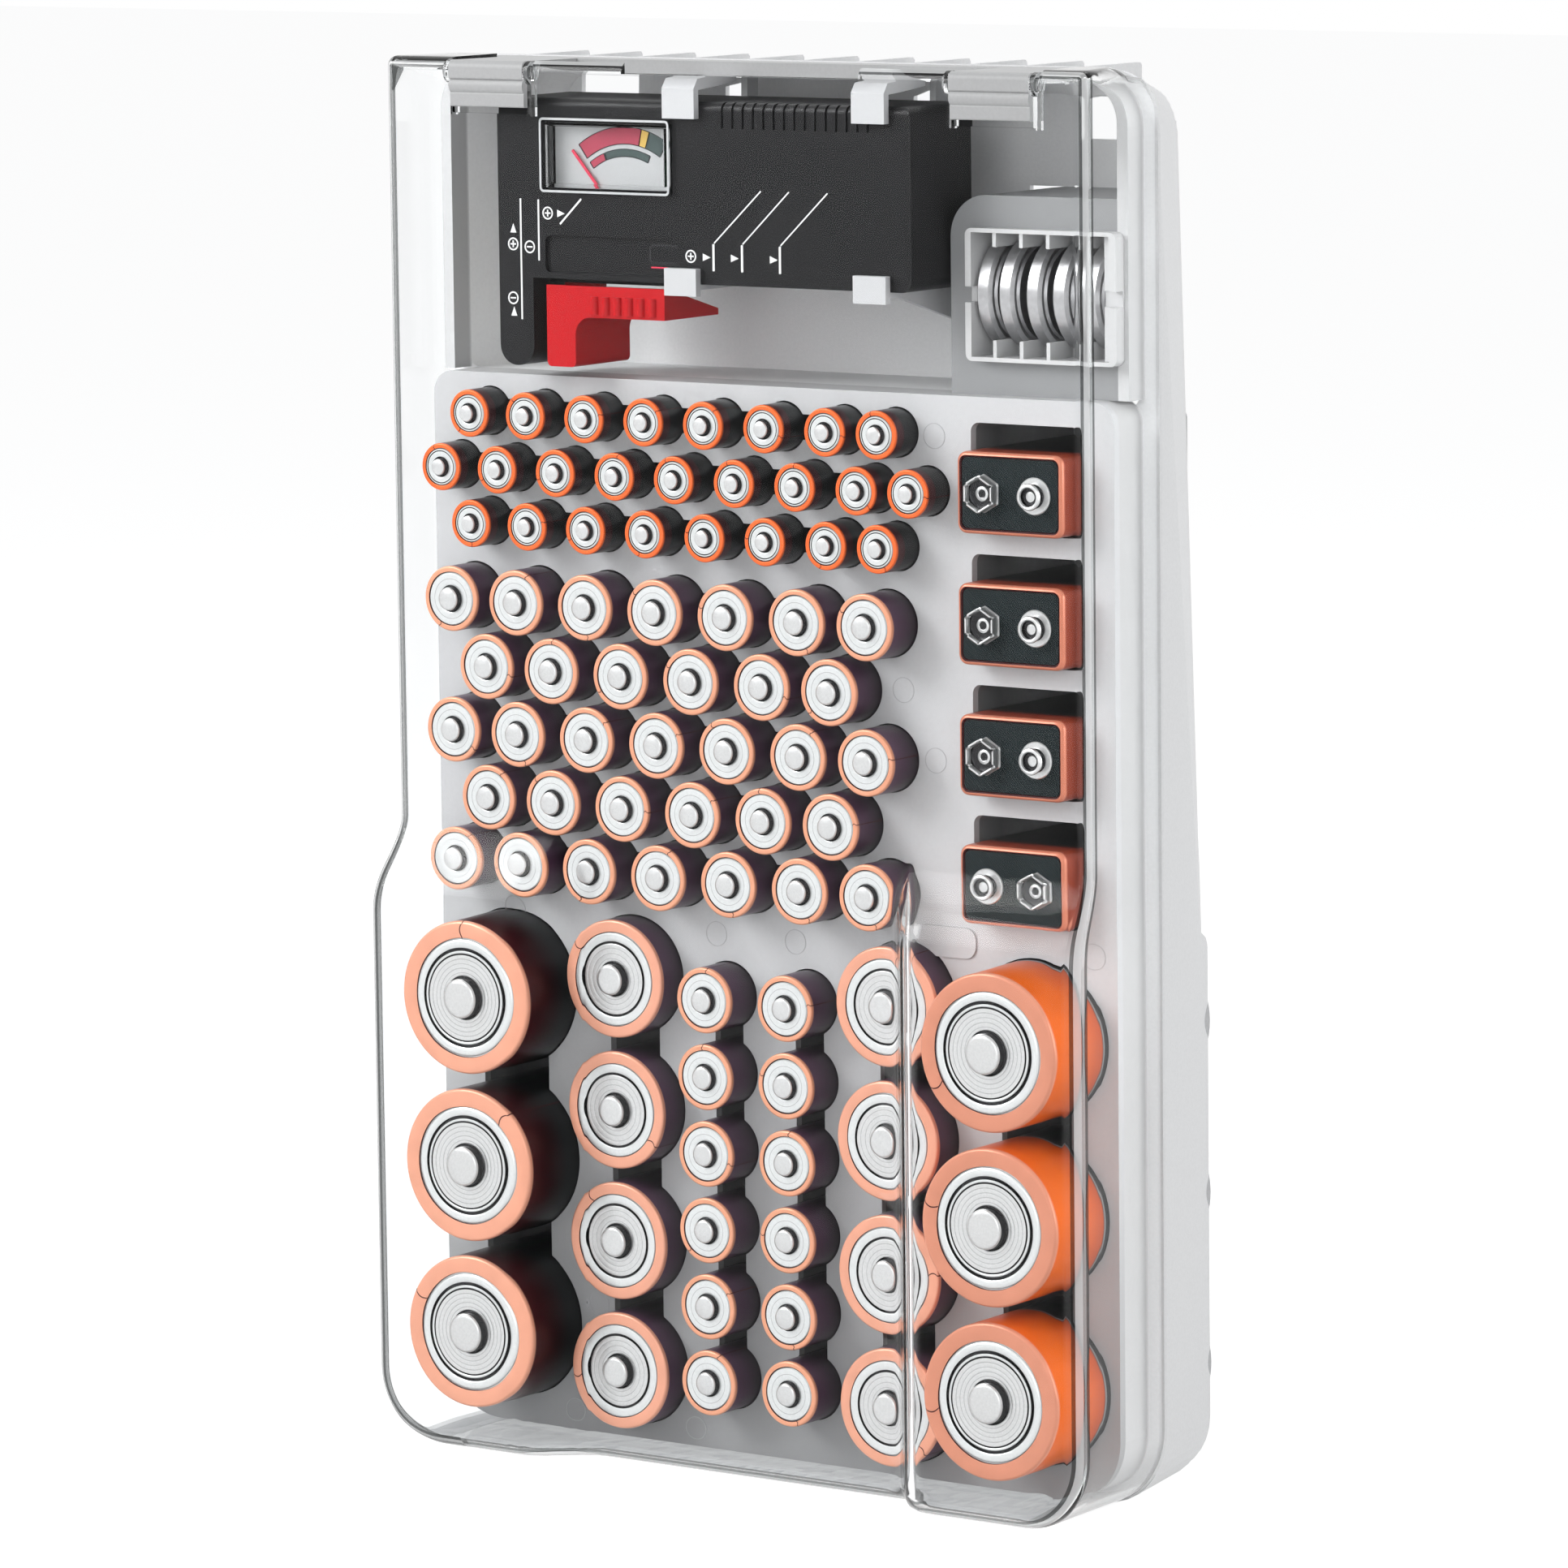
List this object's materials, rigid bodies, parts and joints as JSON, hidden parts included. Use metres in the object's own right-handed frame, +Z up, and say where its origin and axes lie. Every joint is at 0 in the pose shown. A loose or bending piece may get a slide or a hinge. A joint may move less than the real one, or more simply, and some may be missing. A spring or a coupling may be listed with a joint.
{
  "type": "battery organizer case",
  "caption": "Upright moulded battery organizer filled with AA, AAA, C, D, 9 volt and coin cells, with a clip-in meter tester and a clear cover hinged at the top.",
  "frame": {"origin": "centre of the bounding box in X and Y, on the plane that the case stands on", "axes": "X across the front towards the coin rack, Y from the cover to the tray's back, Z up"},
  "size_m": [0.1884, 0.064, 0.309],
  "materials": {
    "tray": "moulded satin",
    "tray_white": "moulded satin",
    "clear": "clear polished",
    "tester_black": "fine texture",
    "window_clear": "clear polished",
    "dial_card": "printed card",
    "needle_red": "painted",
    "slider_red": "moulded gloss",
    "dark_plastic": "satin",
    "board_green": "coated",
    "resistor_tan": "coated",
    "contact_metal": "plated",
    "screw_steel": "zinc plated",
    "can_steel": "turned, nickel plated",
    "sleeve_copper": "metallic printed sleeve",
    "nine_volt_black": "fibre board",
    "coin_steel": "bright"
  },
  "bodies": {
    "case": {"tray_shell": "tray_white", "tray_deck": "tray", "aaa_pockets": "tray", "aa_pockets": "tray", "aa_column_pockets": "tray", "c_pockets": "tray", "d_pockets": "tray", "nine_volt_pockets": "tray", "tester_bay": "tray", "top_fins": "tray_white", "hinge_blocks": "tray_white", "tester_clips": "tray_white", "coin_pedestal": "tray", "coin_rack": "tray_white", "tester_front": "tester_black", "tester_back": "tester_black", "tester_screws": "screw_steel", "meter_window": "window_clear", "meter_dial": "dial_card", "meter_movement": "dark_plastic", "tester_board": "board_green", "load_resistor": "resistor_tan", "cell_contact": "contact_metal", "nine_volt_contacts": "contact_metal", "aaa_cans": "can_steel", "aaa_sleeves": "sleeve_copper", "aa_cans": "can_steel", "aa_sleeves": "sleeve_copper", "c_cans": "can_steel", "c_sleeves": "sleeve_copper", "d_cans": "can_steel", "d_sleeves": "sleeve_copper", "nine_volt_cases": "sleeve_copper", "nine_volt_tops": "nine_volt_black", "nine_volt_sockets": "can_steel", "nine_volt_studs": "can_steel", "coin_cans": "coin_steel", "coin_caps": "coin_steel"},
    "cover": {"cover": "clear"},
    "slider": {"tester_slider": "slider_red", "slider_contact": "contact_metal"},
    "needle": {"meter_needle": "needle_red"}
  },
  "joints": [
    {"name": "cover_hinge", "type": "hinge", "parent": "case", "child": "cover", "pos_m": [0, -0.02135, 0.306], "axis": [-1, 0, 0], "range_deg": [0, 180]},
    {"name": "slider_slide", "type": "slide", "parent": "case", "child": "slider", "axis": [1, 0, 0], "range_m": [0, 0.024]},
    {"name": "needle_pivot", "type": "hinge", "parent": "case", "child": "needle", "pos_m": [-0.0312, -0.01485, 0.2734], "axis": [0, 1, 0], "range_deg": [0, 82], "stiffness_Nm_per_rad": 0.0001}
  ]
}
